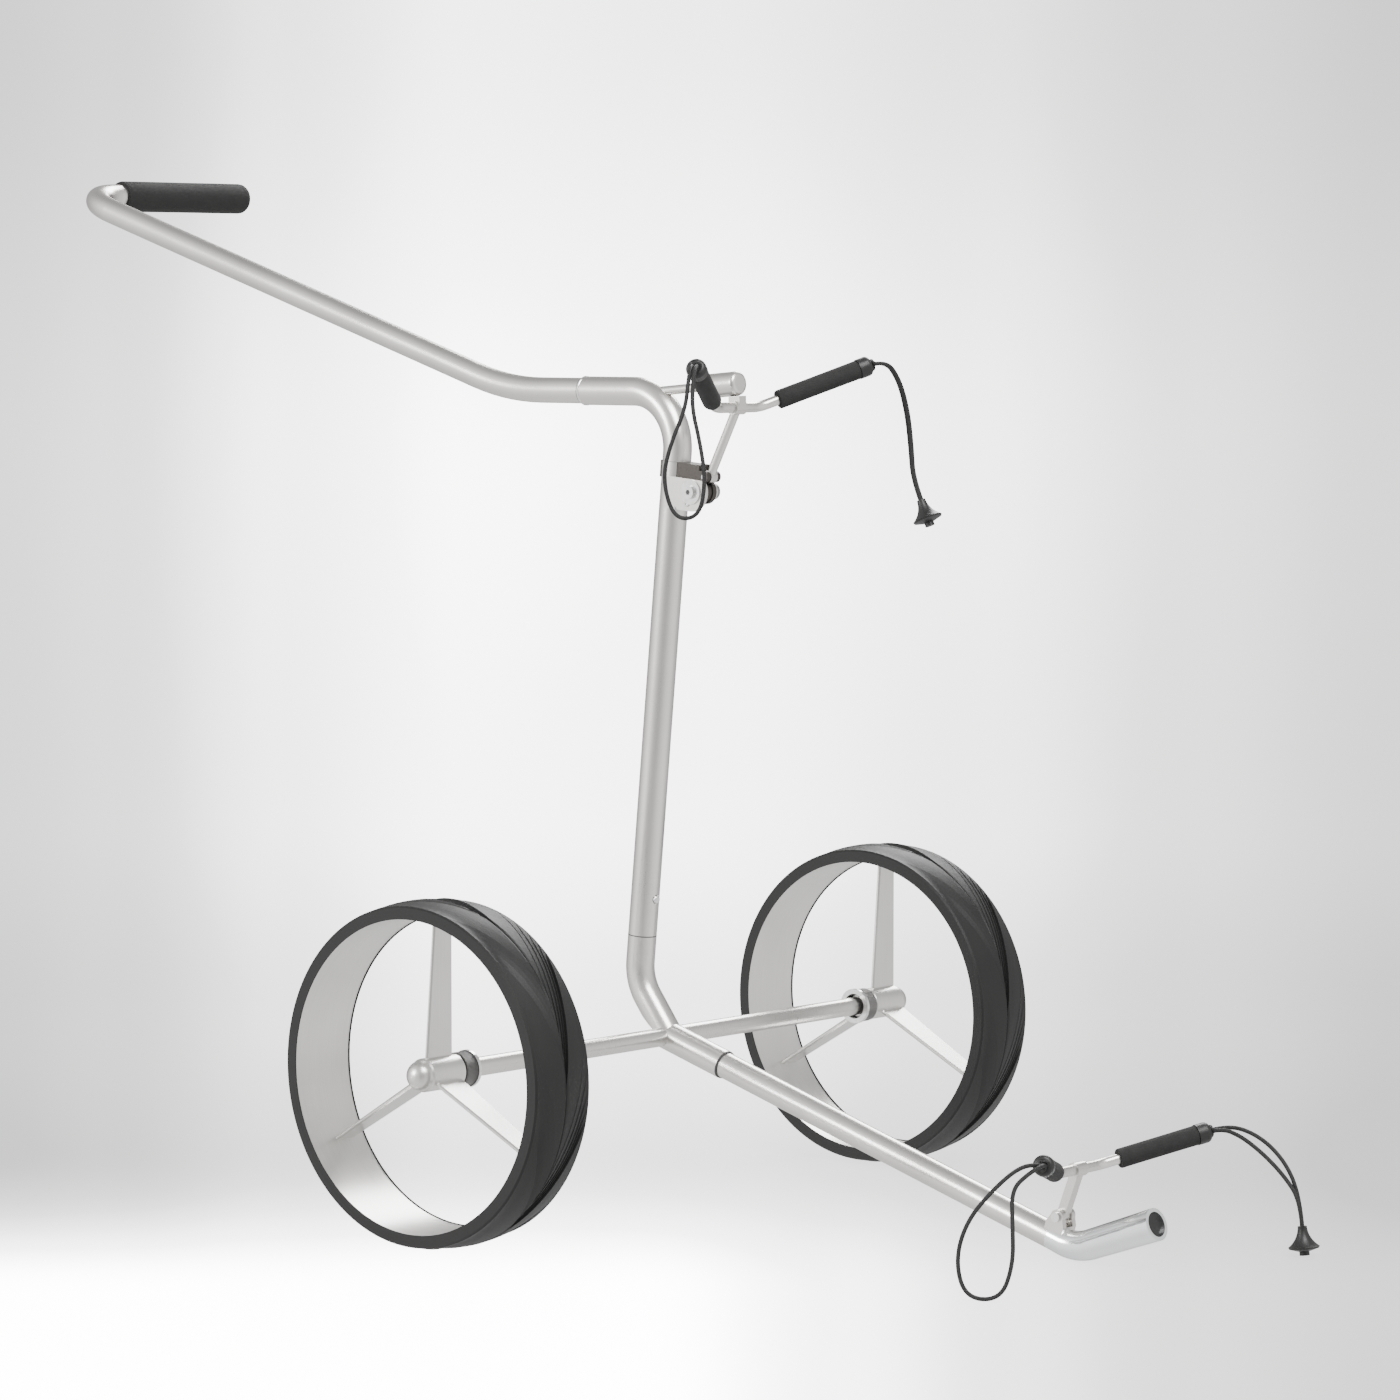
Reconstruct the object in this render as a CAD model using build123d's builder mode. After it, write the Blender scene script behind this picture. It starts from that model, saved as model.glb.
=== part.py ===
"""A two-wheeled push trolley for a golf bag: a bent tube frame with a folding handle frame,
quick-release wheels, two folding bag brackets with elastic cords, and a flared front foot.
Millimetres. +X is the right-hand side, +Y is forwards, +Z is up. The origin is on the floor,
below the middle of the trolley's outline."""

import os
from math import atan2, cos, degrees, pi, radians, sin, sqrt, tan

from build123d import *

os.makedirs("parts", exist_ok=True)

# ---- overall places ----
axle_forward = 114.0  # the axle is this far in front of the middle of the outline
wheel_centre_x = 295.0  # from the middle of the axle to the middle of a wheel

# ---- clearances ----
running = 0.05  # radial play of a shaft in its hole
side_gap = 0.3  # between faces that pass each other

# ---- wheels ----
wheel_radius = 145.0
wheel_width = 65.0
tyre_thickness = 12.0
tyre_crown = 4.0
tread_groove_depth = 1.6
tread_groove_width = 2.5
rim_wall = 2.2
rim_width = 63.0
spoke_thickness = 3.6
spoke_root_width = 31.0
spoke_tip_width = 20.5
spoke_edge = 1.2
spoke_count = 3
hub_radius = 14.0
hub_length = 39.0
hub_inner_face = 273.0
hub_boss_radius = 10.0
hub_boss_length = 10.5
nose_radius = 12.7
bearing_outer = 11.0
bearing_width = 7.0
bush_radius = 7.0

# ---- axle ----
axle_tube_radius = 8.0
axle_tube_half = 261.0
axle_rod_radius = 5.0
axle_rod_half = 304.0

# ---- wheel release ring ----
ring_radius = 14.8
ring_length = 16.0
ring_mouth_radius = 15.6
ring_mouth_width = 3.0
ring_bore = 11.0
ring_bore_depth = 8.0
ring_gap = 1.0
ring_travel = 4.0

# ---- frame tubes ----
frame_radius = 12.5
frame_wall = 1.2
slide_tube_radius = frame_radius - frame_wall - running
slide_tube_wall = 1.0
leg_wall = 2.4
upright_wall = 1.5
upright_lean = radians(5.48)
seam_height = 86.0  # of the joint between lower bend and upright, above the axle
seam_back = 30.65  # and behind it
upright_length = 374.0
lower_corner_height = 46.0
lower_bend_radius = 44.0
spigot_depth = 40.0

# ---- front leg ----
leg_slope = radians(17.17)
stub_back = 12.0
stub_front = 65.3
leg_insert = 40.0
foot_rise = radians(20.1)
foot_bend_radius = 45.0
foot_mid_radius = 12.1
foot_end_radius = 13.6
foot_length = 84.0
foot_wall = 3.2
foot_seam = 26.0
plug_recess = 3.0
plug_depth = 18.0

# ---- hinge of the handle frame ----
hinge_offset = 28.8
hinge_above_upright = 16.5
bend_end_above_upright = 40.0
fork_radius = 16.5
far_cheek_radius = 9.0
shoulder_start = 17.0
fork_slot_half = 9.3
fork_web = 4.5
fork_shoulder = 11.0
fork_plug_depth = 30.0
lug_eye_radius = 10.8
lug_length_forward = 33.0
lug_ear_radius = 4.8
lug_plug_depth = 24.0
bolt_radius = 4.0
bolt_head_radius = 5.7
bolt_washer_radius = 10.6
knob_radius = 7.2
knob_width = 6.0
knob_gap = 0.3

# ---- handle ----
top_height = 557.0  # centre of the level top tube above the axle
top_bend_radius = 48.0
top_seam_back = 95.5
handle_insert = 52.0
handle_bend_back = 185.3
handle_bend_radius = 250.0
grip_back = 738.3
grip_height = 734.5
grip_bend_radius = 50.0
grip_start = 57.0
grip_length = 163.0
grip_radius = 14.5
grip_end_wall = 6.0

# ---- bag brackets ----
arm_radius = 4.5
arm_wall = 1.0
arm_bend_radius = 24.0
elbow_x = 29.0
barrel_radius = 6.0
barrel_half = 7.0
pad_radius = 8.2
pad_start = 18.0
cap_radius = 8.7
cap_length = 12.0
cap_round = 4.0
cap_plug = 9.0
cap_pocket_radius = 4.2
cap_pocket_depth = 3.0
upper_hub = (76.5, 544.5)
upper_tip = (116.0, 128.5, 580.0)
lower_hub = (438.4, -70.0)
lower_tip = (114.5, 488.0, -47.5)
pin_radius = 2.5
strut_radius = 4.0
strut_pin_forward = 38.2
strut_pin_above_upright = 30.5
strut_eye_radius = 5.5
clevis_slot_half = strut_radius + side_gap
post_width = 9.0
post_half = 4.1
post_pin_forward = 423.5
post_pin_above_leg = 8.7
saddle_floor = 2.4
saddle_ear = 4.6

# ---- latch of the upper bracket ----
rod_radius = 4.0
rod_rise = radians(4.9)
rod_height = 559.5
rod_start = 14.0
rod_sunk = 30.0
latch_radius = 10.5
latch_start = 33.0
latch_length = 33.0
latch_bore_depth = 27.0
latch_travel = 6.0

# ---- snap button ----
button_height = 33.0  # above the seam, along the upright
button_radius = 3.5
button_proud = 2.0
button_travel = 3.0
flange_radius = 4.5
spring_strip = 0.7

# ---- cords and their toggles ----
cord_radius = 1.75
toggle_top_radius = 3.8
toggle_radius = 13.0
toggle_height = 24.0
toggle_rim_height = 7.0
toggle_boss_radius = 4.2
toggle_gap = 0.15

# The routes are offsets from the middle of the cap's end face, from strand to strand.
upper_loop_route = [
    (1.0, -1.7, 0), (12.3, 5.1, 4.6), (25, 13, -9), (33, 16.5, -33), (44, 9.5, -62),
    (48.5, 5, -91), (44.5, 14, -123), (35.5, 34, -121), (32, 37.5, -91), (31.5, 31, -60),
    (30, 21, -32), (23, 16.4, -9), (10.3, 8.5, 4.6), (-1.0, 1.7, 0),
]
lower_loop_route = [
    (1.0, -1.7, 0), (12, 4.6, 2.9), (34, 2, 3.5), (58, -5.5, -12), (79, -16, -36),
    (88.5, -19.5, -66), (88, -10, -94.6), (76, 15.5, -94.8), (65, 19.5, -68),
    (57.5, 13, -38), (45, 2.5, -13), (26, 5, -2.5), (10, 8, 2.9), (-1.0, 1.7, 0),
]
upper_toggle_route_back = [
    (-1.0, -1.7, 0), (-14.8, 6.6, 5.6), (-29, 11, -12), (-38, 13, -40), (-41, 15, -72),
    (-42, 16.5, -97), (-43, 24.5, -116),
]
upper_toggle_route_front = [
    (1.0, 1.7, 0), (-12.8, 10, 5.6), (-27, 14.5, -12), (-36, 16.8, -40), (-39, 18.6, -72),
    (-39.9, 19.4, -95.9), (-40.9, 27.4, -114.9),
]
lower_toggle_route_back = [
    (-1.0, -1.7, 0), (-13, 5.2, 3.2), (-25, 19, 2.4), (-29, 42, -8), (-27.5, 64, -27),
    (-24.5, 76.5, -51), (-24, 79.5, -72),
]
lower_toggle_route_front = [
    (1.0, 1.7, 0), (-10, 8.1, 2.9), (-20, 21, -3.5), (-24, 41, -17), (-23.4, 62, -33),
    (-20.2, 79.6, -50.4), (-20.7, 81.5, -71.6),
]

# ---- planes that the pieces are drawn on ----
axle_height = wheel_radius
axle = Vector(0, axle_forward, axle_height)
# the middle plane of the trolley: x is forwards of the axle, y is above it
middle = Plane(origin=axle, x_dir=(0, 1, 0), z_dir=(1, 0, 0))
# along the upright: x is forwards of its axis, y is up it from the lower seam
seam = axle + Vector(0, -seam_back, seam_height)
upright_plane = Plane(
    origin=seam, x_dir=(0, cos(upright_lean), -sin(upright_lean)), z_dir=(1, 0, 0)
)
# along the front leg: x is down it from the axle, y is square to it
leg_plane = Plane(origin=axle, x_dir=(0, cos(leg_slope), -sin(leg_slope)), z_dir=(1, 0, 0))


def from_axle(x, forward, up):
    """A point from its distances to the middle of the axle."""
    return axle + Vector(x, forward, up)


def save(piece, name):
    """Labels a finished piece and writes its STEP file."""
    piece.label = name
    export_step(piece, f"parts/{name}.step")


def cross_plane(plane, across, along, x):
    """A plane square to X, with its origin on a point of a drawing plane."""
    spot = plane.from_local_coords(Vector(across, along, 0))
    return Plane(origin=spot + Vector(x, 0, 0), x_dir=(0, 1, 0), z_dir=(1, 0, 0))


def rod_between(start, end, radius, bore=0.0):
    """A straight round bar or tube from one point to another."""
    with BuildPart() as bar:
        with BuildSketch(Plane(origin=start, z_dir=(end - start))):
            Circle(radius)
            if bore:
                Circle(bore, mode=Mode.SUBTRACT)
        extrude(amount=(end - start).length)
    return bar.part


def bent_tube(points, bends, radius, bore=0.0):
    """A round bar or tube along straight runs joined by tangent arcs."""
    with BuildPart() as tube:
        with BuildLine() as route:
            FilletPolyline(*points, radius=bends)
        with BuildSketch(Plane(origin=route.line @ 0, z_dir=route.line % 0)):
            Circle(radius)
            if bore:
                Circle(bore, mode=Mode.SUBTRACT)
        sweep(path=route.line)
    return tube.part


# ---- axle tube and the rod through it ----
with BuildPart() as axle_tube:
    with BuildSketch(middle):
        Circle(axle_tube_radius)
        Circle(axle_rod_radius, mode=Mode.SUBTRACT)
    extrude(amount=axle_tube_half, both=True)
save(axle_tube.part, "axle_tube")

with BuildPart() as axle_rod:
    with BuildSketch(middle):
        Circle(axle_rod_radius)
    extrude(amount=axle_rod_half, both=True)
    chamfer(axle_rod.edges().filter_by(GeomType.CIRCLE), length=1.0)
save(axle_rod.part, "axle_rod")

# ---- front stub: welded round the middle of the axle tube ----
with BuildPart() as front_stub:
    with BuildSketch(Plane(origin=leg_plane.from_local_coords(Vector(-stub_back, 0, 0)),
                           z_dir=leg_plane.x_dir)):
        Circle(frame_radius)
        Circle(frame_radius - frame_wall, mode=Mode.SUBTRACT)
    extrude(amount=stub_back + stub_front)
    with BuildSketch(middle):
        Circle(axle_tube_radius)
    extrude(amount=2 * frame_radius, both=True, mode=Mode.SUBTRACT)
save(front_stub.part, "front_stub")

# ---- lower bend: from the lower seam down on to the front stub ----
lower_corner = seam + Vector(
    0, -(seam_height - lower_corner_height) * tan(upright_lean),
    lower_corner_height - seam_height,
)
with BuildPart() as lower_bend_tube:
    with BuildLine() as lower_route:
        FilletPolyline(seam, lower_corner, axle, radius=lower_bend_radius)
    with BuildSketch(Plane(origin=seam, z_dir=lower_route.line % 0)):
        Circle(frame_radius)
        Circle(frame_radius - upright_wall, mode=Mode.SUBTRACT)
    sweep(path=lower_route.line)
    with BuildSketch(Plane(origin=leg_plane.from_local_coords(Vector(-2 * stub_front, 0, 0)),
                           z_dir=leg_plane.x_dir)):
        Circle(frame_radius)
    extrude(amount=4 * stub_front, mode=Mode.SUBTRACT)
    with BuildSketch(middle):
        Circle(axle_tube_radius)
    extrude(amount=2 * frame_radius, both=True, mode=Mode.SUBTRACT)
save(lower_bend_tube.part.solids().sort_by(Axis.Z)[-1], "lower_bend_tube")

# ---- upright and the spigot that joins it to the lower bend ----
button_spot = upright_plane.from_local_coords(Vector(0, button_height, 0))
button_plane = Plane(origin=button_spot, x_dir=(1, 0, 0), z_dir=upright_plane.x_dir)
upright_bore = frame_radius - upright_wall

with BuildPart() as upright_tube:
    with BuildSketch(Plane(origin=seam, z_dir=upright_plane.y_dir)):
        Circle(frame_radius)
        Circle(upright_bore, mode=Mode.SUBTRACT)
    extrude(amount=upright_length)
    with BuildSketch(button_plane):
        Circle(button_radius + side_gap)
    extrude(amount=2 * frame_radius, mode=Mode.SUBTRACT)
save(upright_tube.part, "upright_tube")

spigot_foot = seam - upright_plane.y_dir * (spigot_depth / 2)
with BuildPart() as upright_spigot:
    with BuildSketch(Plane(origin=spigot_foot, z_dir=upright_plane.y_dir)):
        Circle(upright_bore)
        Circle(upright_bore - upright_wall, mode=Mode.SUBTRACT)
    extrude(amount=spigot_depth / 2 + button_height + spigot_depth / 2)
    with BuildSketch(Plane(origin=seam, z_dir=-upright_plane.y_dir)):
        Circle(frame_radius)
        Circle(upright_bore, mode=Mode.SUBTRACT)
    extrude(amount=spigot_depth, mode=Mode.SUBTRACT)
    with BuildSketch(button_plane):
        Circle(button_radius + side_gap)
    extrude(amount=2 * frame_radius, mode=Mode.SUBTRACT)
save(upright_spigot.part, "upright_spigot")

# ---- snap button and its strip spring, inside the spigot ----
spigot_bore = upright_bore - upright_wall
flange_face = sqrt(spigot_bore**2 - flange_radius**2) - side_gap
button_length = frame_radius + button_proud - flange_face
with BuildPart() as snap_button:
    with BuildSketch(button_plane.offset(flange_face - 1.5)):
        Circle(flange_radius)
    extrude(amount=1.5)
    with BuildSketch(button_plane.offset(flange_face)):
        Circle(button_radius)
    extrude(amount=button_length)
    button_top = snap_button.faces().sort_by(Axis(button_spot, upright_plane.x_dir))[-1]
    fillet(button_top.edges(), radius=1.2)
save(snap_button.part, "snap_button")

spring_front = flange_face - 1.5 - button_travel - side_gap
spring_back = sqrt(spigot_bore**2 - flange_radius**2)
with BuildPart() as snap_spring:
    with BuildSketch(upright_plane.offset(-flange_radius)):
        with BuildLine():
            Polyline(
                (spring_front, button_height + 9),
                (spring_front, button_height - 9),
                (-spring_back + 0.2, button_height - 9),
                (-spring_back + 0.2, button_height + 12),
                (-spring_back + 0.2 + spring_strip, button_height + 12),
                (-spring_back + 0.2 + spring_strip, button_height - 9 + spring_strip),
                (spring_front - spring_strip, button_height - 9 + spring_strip),
                (spring_front - spring_strip, button_height + 9),
                close=True,
            )
        make_face()
    extrude(amount=2 * flange_radius)
save(snap_spring.part, "snap_spring")

# ---- hinge fork on top of the upright ----
hinge_up = upright_length + hinge_above_upright
hinge_spot = upright_plane.from_local_coords(Vector(hinge_offset, hinge_up, 0))
bend_end_up = upright_length + bend_end_above_upright
fork_top = bend_end_up - side_gap
slot_floor = upright_length + fork_web

with BuildPart() as hinge_fork:
    with BuildSketch(
        Plane(
            origin=upright_plane.from_local_coords(
                Vector(0, upright_length - fork_plug_depth, 0)
            ),
            z_dir=upright_plane.y_dir,
        )
    ):
        Circle(upright_bore)
    extrude(amount=fork_plug_depth)
    with BuildSketch(
        Plane(
            origin=upright_plane.from_local_coords(Vector(0, upright_length, 0)),
            z_dir=upright_plane.y_dir,
        )
    ):
        Circle(frame_radius)
    extrude(amount=fork_top - upright_length)
    with BuildSketch(upright_plane):
        with Locations((hinge_offset, hinge_up)):
            Circle(fork_radius)
        with BuildLine():
            Polyline(
                (0, upright_length),
                (frame_radius, upright_length),
                (hinge_offset, hinge_up - fork_radius),
                (hinge_offset, hinge_up + fork_shoulder),
                (0, hinge_up + fork_shoulder),
                close=True,
            )
        make_face()
    extrude(amount=frame_radius, both=True)
    # the shoulder: above it only the rear half of the fork stands up
    with BuildSketch(upright_plane):
        with Locations((shoulder_start, hinge_up + fork_shoulder)):
            Rectangle(4 * fork_radius, 2 * fork_radius, align=(Align.MIN, Align.MIN))
    extrude(amount=2 * frame_radius, both=True, mode=Mode.SUBTRACT)
    with BuildSketch(upright_plane):
        with Locations((-2 * frame_radius, slot_floor)):
            Rectangle(8 * frame_radius, 4 * fork_radius, align=(Align.MIN, Align.MIN))
        with BuildLine():
            Polyline(
                (frame_radius, upright_length - fork_radius),
                (6 * frame_radius, upright_length - fork_radius),
                (6 * frame_radius, slot_floor),
                (frame_radius, slot_floor),
                close=True,
            )
        make_face()
    extrude(amount=fork_slot_half, both=True, mode=Mode.SUBTRACT)
    # the left-hand cheek is a smaller ear, no larger than the knob needs
    with BuildSketch(upright_plane.offset(-2 * frame_radius)):
        with Locations((frame_radius, hinge_up)):
            Rectangle(4 * fork_radius, 4 * fork_radius, align=(Align.MIN, Align.CENTER))
            Rectangle(
                hinge_offset - frame_radius, 2 * far_cheek_radius,
                align=(Align.MIN, Align.CENTER), mode=Mode.SUBTRACT,
            )
        with Locations((hinge_offset, hinge_up)):
            Circle(far_cheek_radius, mode=Mode.SUBTRACT)
    extrude(amount=2 * frame_radius - fork_slot_half, mode=Mode.SUBTRACT)
    with BuildSketch(upright_plane):
        with Locations((hinge_offset, hinge_up)):
            Circle(bolt_radius)
    extrude(amount=2 * frame_radius, both=True, mode=Mode.SUBTRACT)
save(hinge_fork.part, "hinge_fork")

# ---- hinge bolt with its washer face and head on the right-hand side ----
bolt_end = -frame_radius - knob_gap - knob_width + 1.2
with BuildPart() as hinge_bolt:
    with BuildSketch(cross_plane(upright_plane, hinge_offset, hinge_up, bolt_end)):
        Circle(bolt_radius)
    extrude(amount=frame_radius - bolt_end)
    with BuildSketch(cross_plane(upright_plane, hinge_offset, hinge_up, frame_radius)):
        Circle(bolt_washer_radius)
    extrude(amount=1.4)
    with BuildSketch(cross_plane(upright_plane, hinge_offset, hinge_up, frame_radius + 1.4)):
        Circle(bolt_head_radius)
    extrude(amount=2.8)
    with BuildSketch(cross_plane(upright_plane, hinge_offset, hinge_up, frame_radius + 2.0)):
        RegularPolygon(2.4, 6)
    extrude(amount=4.0, mode=Mode.SUBTRACT)
save(hinge_bolt.part, "hinge_bolt")

knob_face = -frame_radius - knob_gap
with BuildPart() as hinge_knob:
    with BuildSketch(cross_plane(upright_plane, hinge_offset, hinge_up, knob_face - knob_width)):
        Circle(knob_radius)
    extrude(amount=knob_width)
    with BuildSketch(cross_plane(upright_plane, hinge_offset, hinge_up, bolt_end - 0.1)):
        Circle(bolt_radius + running)
    extrude(amount=2 * knob_width, mode=Mode.SUBTRACT)
    outer_rim = hinge_knob.edges().filter_by(GeomType.CIRCLE).sort_by(Axis.X)[0]
    fillet(outer_rim, radius=1.2)
save(hinge_knob.part, "hinge_knob")

# ---- bend tube: from the hinge up and back to the top seam ----
bend_end = upright_plane.from_local_coords(Vector(0, bend_end_up, 0))
corner_rise = (axle + Vector(0, 0, top_height) - bend_end).Z
top_corner = bend_end + Vector(0, corner_rise * tan(upright_lean), corner_rise)
top_seam = from_axle(0, -top_seam_back, top_height)
bend_points = [bend_end, top_corner, top_seam]
bend_solid = bent_tube(bend_points, top_bend_radius, frame_radius)
bend_bore = bent_tube(bend_points, top_bend_radius, frame_radius - frame_wall)
save(bend_solid - bend_bore, "bend_tube")

# ---- hinge lug: plugs into the bend tube and turns between the fork's cheeks ----
lug_plug_slab = rod_between(
    bend_end, bend_end + upright_plane.y_dir * lug_plug_depth, 2 * frame_radius
)
pin_up = upright_length + strut_pin_above_upright
lug_bottom = hinge_up + fork_shoulder - 2.0
blade_half = fork_slot_half - side_gap
with BuildPart() as hinge_lug:
    with BuildSketch(upright_plane):
        with Locations((hinge_offset, hinge_up)):
            Circle(lug_eye_radius)
        with BuildLine():
            Polyline(
                (-frame_radius + 2, lug_bottom),
                (hinge_offset - lug_eye_radius, lug_bottom),
                (hinge_offset - lug_eye_radius, hinge_up),
                (hinge_offset + lug_eye_radius, hinge_up),
                (lug_length_forward, pin_up - lug_ear_radius),
                (lug_length_forward, bend_end_up),
                (-frame_radius + 2, bend_end_up),
                close=True,
            )
        make_face()
        with Locations((strut_pin_forward, pin_up)):
            Circle(lug_ear_radius)
            Rectangle(
                2 * lug_ear_radius, 2 * lug_ear_radius, align=(Align.MAX, Align.CENTER)
            )
    extrude(amount=blade_half, both=True)
    add(bend_bore & lug_plug_slab)
    # the clevis for the strut's eye
    with BuildSketch(upright_plane):
        with Locations((strut_pin_forward - strut_eye_radius - 0.6, 0)):
            Rectangle(4 * frame_radius, 2 * bend_end_up, align=(Align.MIN, Align.CENTER))
        with Locations((hinge_offset, hinge_up)):
            Circle(lug_eye_radius - 1.0, mode=Mode.SUBTRACT)
    extrude(amount=clevis_slot_half, both=True, mode=Mode.SUBTRACT)
    with BuildSketch(upright_plane):
        with Locations((hinge_offset, hinge_up)):
            Circle(bolt_radius + running)
        with Locations((strut_pin_forward, pin_up)):
            Circle(pin_radius)
    extrude(amount=2 * frame_radius, both=True, mode=Mode.SUBTRACT)
save(hinge_lug.part, "hinge_lug")

with BuildPart() as strut_pin:
    with BuildSketch(upright_plane):
        with Locations((strut_pin_forward, pin_up)):
            Circle(pin_radius)
    extrude(amount=blade_half - 0.2, both=True)
save(strut_pin.part, "strut_pin")

# ---- handle tube: slides into the bend tube, runs back and turns across into the grip ----
handle_start = top_seam + Vector(0, handle_insert, 0)
handle_corner = from_axle(0, -handle_bend_back, top_height)
grip_corner = from_axle(0, -grip_back, grip_height)
grip_end = grip_corner - Vector(grip_start + grip_length, 0, 0)
handle_end = grip_end + Vector(grip_end_wall, 0, 0)
handle_tube = bent_tube(
    [handle_start, handle_corner, grip_corner, handle_end],
    [handle_bend_radius, grip_bend_radius],
    slide_tube_radius,
    slide_tube_radius - slide_tube_wall,
)
save(handle_tube, "handle_tube")

with BuildPart() as handle_grip:
    with BuildSketch(Plane(origin=grip_end, z_dir=(1, 0, 0))):
        Circle(grip_radius)
    extrude(amount=grip_length)
    with BuildSketch(Plane(origin=handle_end, z_dir=(1, 0, 0))):
        Circle(slide_tube_radius)
    extrude(amount=grip_length, mode=Mode.SUBTRACT)
    fillet(handle_grip.edges().filter_by(GeomType.CIRCLE).sort_by(Axis.X)[0], radius=5.5)
save(handle_grip.part, "handle_grip")

# ---- front leg, foot and plug ----
turn_half = (leg_slope + foot_rise) / 2
tilt = (foot_rise - leg_slope) / 2
arc_centre_drop = foot_bend_radius + foot_mid_radius - axle_height
corner_drop = arc_centre_drop - foot_bend_radius / cos(turn_half) * cos(tilt)
foot_corner_down = -corner_drop / sin(leg_slope)
foot_corner = leg_plane.from_local_coords(Vector(foot_corner_down, 0, 0))
foot_dir = Vector(0, cos(foot_rise), sin(foot_rise))
foot_tip = foot_corner + foot_dir * foot_length
leg_start = leg_plane.from_local_coords(Vector(stub_front - leg_insert, 0, 0))
leg_end = leg_plane.from_local_coords(Vector(foot_corner_down - foot_seam, 0, 0))
front_tube = rod_between(leg_start, leg_end, slide_tube_radius, slide_tube_radius - leg_wall)
save(front_tube, "front_tube")


def foot_shell(start_radius, middle_radius, end_radius):
    """The foot's bent, flaring body, or its hollow when given smaller radii."""
    bend_reach = foot_bend_radius * tan(turn_half)
    flare_start = foot_corner + foot_dir * bend_reach
    with BuildPart() as shell:
        with BuildLine() as route:
            FilletPolyline(leg_end, foot_corner, flare_start + foot_dir * 0.5,
                           radius=foot_bend_radius)
        with BuildSketch(Plane(origin=route.line @ 0, z_dir=route.line % 0)):
            Circle(start_radius)
        with BuildSketch(Plane(origin=route.line @ 1, z_dir=route.line % 1)):
            Circle(middle_radius)
        sweep(path=route.line, multisection=True)
        with BuildSketch(Plane(origin=route.line @ 1, z_dir=foot_dir)):
            Circle(middle_radius)
        with BuildSketch(Plane(origin=foot_tip, z_dir=foot_dir)):
            Circle(end_radius)
        loft()
    return shell.part


foot_body = foot_shell(slide_tube_radius, foot_mid_radius + 0.5, foot_end_radius)
foot_hollow = foot_shell(
    slide_tube_radius - foot_wall, foot_mid_radius + 0.5 - foot_wall, foot_end_radius - foot_wall
)
front_foot = foot_body - foot_hollow
save(front_foot.solids().sort_by(SortBy.VOLUME)[-1], "front_foot")

plug_outer = rod_between(
    foot_tip - foot_dir * (plug_recess + plug_depth),
    foot_tip - foot_dir * plug_recess,
    foot_end_radius,
)
foot_plug = plug_outer & foot_hollow
save(foot_plug.solids().sort_by(SortBy.VOLUME)[-1], "foot_plug")

# ---- clevis saddle on the leg, with the pin of the lower bracket ----
post_pin_down = post_pin_forward / cos(leg_slope) - (
    (slide_tube_radius + post_pin_above_leg) * tan(leg_slope)
)
post_pin_rise = slide_tube_radius + post_pin_above_leg
with BuildPart() as lower_saddle:
    with BuildSketch(leg_plane):
        with Locations((post_pin_down, post_pin_rise)):
            Circle(pin_radius + 3.6)
        with BuildLine():
            Polyline(
                (post_pin_down - 9, 0),
                (post_pin_down + 9, 0),
                (post_pin_down + 9, slide_tube_radius + saddle_floor),
                (post_pin_down + pin_radius + 3.6, post_pin_rise),
                (post_pin_down - pin_radius - 3.6, post_pin_rise),
                (post_pin_down - 9, slide_tube_radius + saddle_floor),
                close=True,
            )
        make_face()
    extrude(amount=post_half + side_gap + saddle_ear, both=True)
    with BuildSketch(leg_plane):
        with Locations((post_pin_down, slide_tube_radius + saddle_floor)):
            Rectangle(60, 60, align=(Align.CENTER, Align.MIN))
    extrude(amount=post_half + side_gap, both=True, mode=Mode.SUBTRACT)
    with BuildSketch(Plane(origin=leg_start, z_dir=leg_plane.x_dir)):
        Circle(slide_tube_radius)
    extrude(amount=foot_corner_down, mode=Mode.SUBTRACT)
    with BuildSketch(leg_plane):
        with Locations((post_pin_down, post_pin_rise)):
            Circle(pin_radius)
    extrude(amount=4 * frame_radius, both=True, mode=Mode.SUBTRACT)
saddle = lower_saddle.part - foot_body
save(saddle.solids().sort_by(SortBy.VOLUME)[-1], "lower_saddle")

with BuildPart() as lower_pin:
    with BuildSketch(leg_plane):
        with Locations((post_pin_down, post_pin_rise)):
            Circle(pin_radius)
    extrude(amount=post_half + side_gap + saddle_ear - 0.2, both=True)
    with BuildSketch(
        cross_plane(leg_plane, post_pin_down, post_pin_rise, post_half + side_gap + saddle_ear)
    ):
        Circle(4.0)
    extrude(amount=2.2)
    with BuildSketch(
        cross_plane(leg_plane, post_pin_down, post_pin_rise,
                    post_half + side_gap + saddle_ear - 0.2)
    ):
        Circle(pin_radius)
    extrude(amount=0.2)
save(lower_pin.part, "lower_pin")

# ---- lower bracket's post ----
lower_pin_spot = leg_plane.from_local_coords(Vector(post_pin_down, post_pin_rise, 0))
lower_hub_spot = from_axle(0, *lower_hub)
post_run = lower_hub_spot - lower_pin_spot
post_plane = Plane(origin=lower_pin_spot, x_dir=post_run, z_dir=(1, 0, 0))
with BuildPart() as lower_post:
    with BuildSketch(post_plane):
        Circle(post_width / 2)
        with Locations((post_run.length / 2, 0)):
            Rectangle(post_run.length, post_width - 1.0)
        with Locations((post_run.length, 0)):
            Circle(barrel_radius)
    extrude(amount=post_half, both=True)
    with BuildSketch(post_plane):
        with Locations((post_run.length, 0)):
            Circle(barrel_radius)
    extrude(amount=barrel_half, both=True)
    with BuildSketch(post_plane):
        Circle(pin_radius + running)
    extrude(amount=2 * post_width, both=True, mode=Mode.SUBTRACT)
save(lower_post.part, "lower_post")

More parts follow.
